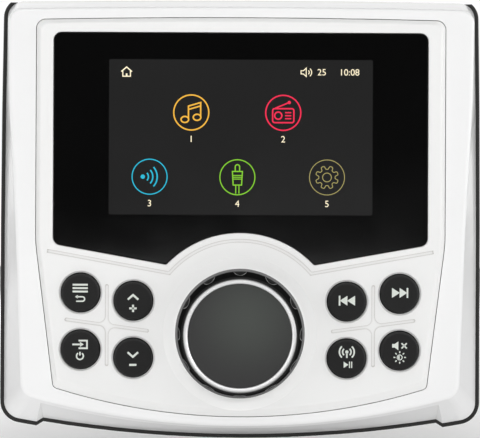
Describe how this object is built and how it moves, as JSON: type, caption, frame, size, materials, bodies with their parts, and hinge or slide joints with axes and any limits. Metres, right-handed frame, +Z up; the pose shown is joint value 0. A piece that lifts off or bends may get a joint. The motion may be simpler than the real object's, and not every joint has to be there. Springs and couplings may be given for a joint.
{
  "type": "marine radio",
  "caption": "White dash-mounted marine radio with a colour display, round push buttons and a turn-and-push knob on a shield-shaped face, and a finned barrel behind the dash.",
  "frame": {"origin": "on the barrel's axis, at the dash surface that the gasket seats on", "axes": "+X to the viewer's right, +Z up, +Y into the dash along the barrel's axis"},
  "size_m": [0.122, 0.0831, 0.1113],
  "materials": {
    "white_plastic": "satin white moulding",
    "black_plastic": "fine matte",
    "grey_plastic": "matte dark grey",
    "ring_plastic": "satin grey",
    "window": "black printed behind a clear sheet",
    "display": "display glass",
    "chrome": "polished",
    "gasket": "soft black",
    "silicone": "translucent grey",
    "board": "green board",
    "steel": "plated",
    "aluminium": "dark anodised casting",
    "brass": "plated",
    "chip": "moulded package",
    "insulator": "white insulator",
    "sleeve": "blue sleeve"
  },
  "bodies": {
    "housing": {"surround": "white_plastic", "fascia": "white_plastic", "display_window": "window", "window_adhesive": "gasket", "display_panel": "display", "backlight_tray": "steel", "display_gasket": "gasket", "display_pad": "gasket", "front_board": "board", "keypad_mat_left": "silicone", "keypad_mat_right": "silicone", "encoder_case": "steel", "encoder_nut": "steel", "encoder_washer": "steel", "encoder_seal": "gasket", "push_dome": "steel", "knob_base_ring": "ring_plastic", "fascia_seal": "gasket", "front_frame": "black_plastic", "dash_gasket": "gasket", "barrel": "black_plastic", "barrel_seal": "gasket", "rear_seal": "gasket", "heat_sink": "aluminium", "main_board": "board", "amplifier_chip": "chip", "thermal_pad": "silicone", "tuner_can": "steel", "capacitors": "sleeve", "ribbon_cable": "insulator", "ribbon_plugs": "insulator", "harness_socket": "black_plastic", "harness_pins": "brass", "antenna_socket": "steel", "antenna_insulator": "insulator", "line_out_sockets": "brass", "line_out_insulators": "insulator", "fascia_screws": "steel", "board_screws": "steel", "housing_screws": "steel", "main_board_screws": "steel", "heat_sink_screws": "steel"},
    "menu_button": {"button_menu": "black_plastic"},
    "source_button": {"button_source": "black_plastic"},
    "channel_up_button": {"button_channel_up": "black_plastic"},
    "channel_down_button": {"button_channel_down": "black_plastic"},
    "previous_button": {"button_previous": "black_plastic"},
    "next_button": {"button_next": "black_plastic"},
    "band_button": {"button_band": "black_plastic"},
    "mute_button": {"button_mute": "black_plastic"},
    "rotor": {"encoder_rotor": "insulator"},
    "knob": {"knob_body": "black_plastic", "knob_ring": "chrome", "knob_cap": "grey_plastic", "encoder_shaft": "brass"}
  },
  "joints": [
    {"name": "menu_press", "type": "slide", "parent": "housing", "child": "menu_button", "axis": [0, 1, 0], "range_m": [0, 0.0007], "stiffness_N_per_m": 1500, "springref_m": -0.0004, "deforming": ["keypad_mat_left"]},
    {"name": "source_press", "type": "slide", "parent": "housing", "child": "source_button", "axis": [0, 1, 0], "range_m": [0, 0.0007], "stiffness_N_per_m": 1500, "springref_m": -0.0004, "deforming": ["keypad_mat_left"]},
    {"name": "channel_up_press", "type": "slide", "parent": "housing", "child": "channel_up_button", "axis": [0, 1, 0], "range_m": [0, 0.0007], "stiffness_N_per_m": 1500, "springref_m": -0.0004, "deforming": ["keypad_mat_left"]},
    {"name": "channel_down_press", "type": "slide", "parent": "housing", "child": "channel_down_button", "axis": [0, 1, 0], "range_m": [0, 0.0007], "stiffness_N_per_m": 1500, "springref_m": -0.0004, "deforming": ["keypad_mat_left"]},
    {"name": "previous_press", "type": "slide", "parent": "housing", "child": "previous_button", "axis": [0, 1, 0], "range_m": [0, 0.0007], "stiffness_N_per_m": 1500, "springref_m": -0.0004, "deforming": ["keypad_mat_right"]},
    {"name": "next_press", "type": "slide", "parent": "housing", "child": "next_button", "axis": [0, 1, 0], "range_m": [0, 0.0007], "stiffness_N_per_m": 1500, "springref_m": -0.0004, "deforming": ["keypad_mat_right"]},
    {"name": "band_press", "type": "slide", "parent": "housing", "child": "band_button", "axis": [0, 1, 0], "range_m": [0, 0.0007], "stiffness_N_per_m": 1500, "springref_m": -0.0004, "deforming": ["keypad_mat_right"]},
    {"name": "mute_press", "type": "slide", "parent": "housing", "child": "mute_button", "axis": [0, 1, 0], "range_m": [0, 0.0007], "stiffness_N_per_m": 1500, "springref_m": -0.0004, "deforming": ["keypad_mat_right"]},
    {"name": "knob_turn", "type": "hinge", "parent": "housing", "child": "rotor", "pos_m": [0, -0.012, -0.0286], "axis": [0, 1, 0], "continuous": true},
    {"name": "knob_push", "type": "slide", "parent": "rotor", "child": "knob", "axis": [0, 1, 0], "range_m": [0, 0.0006], "stiffness_N_per_m": 3000, "springref_m": -0.0004}
  ]
}
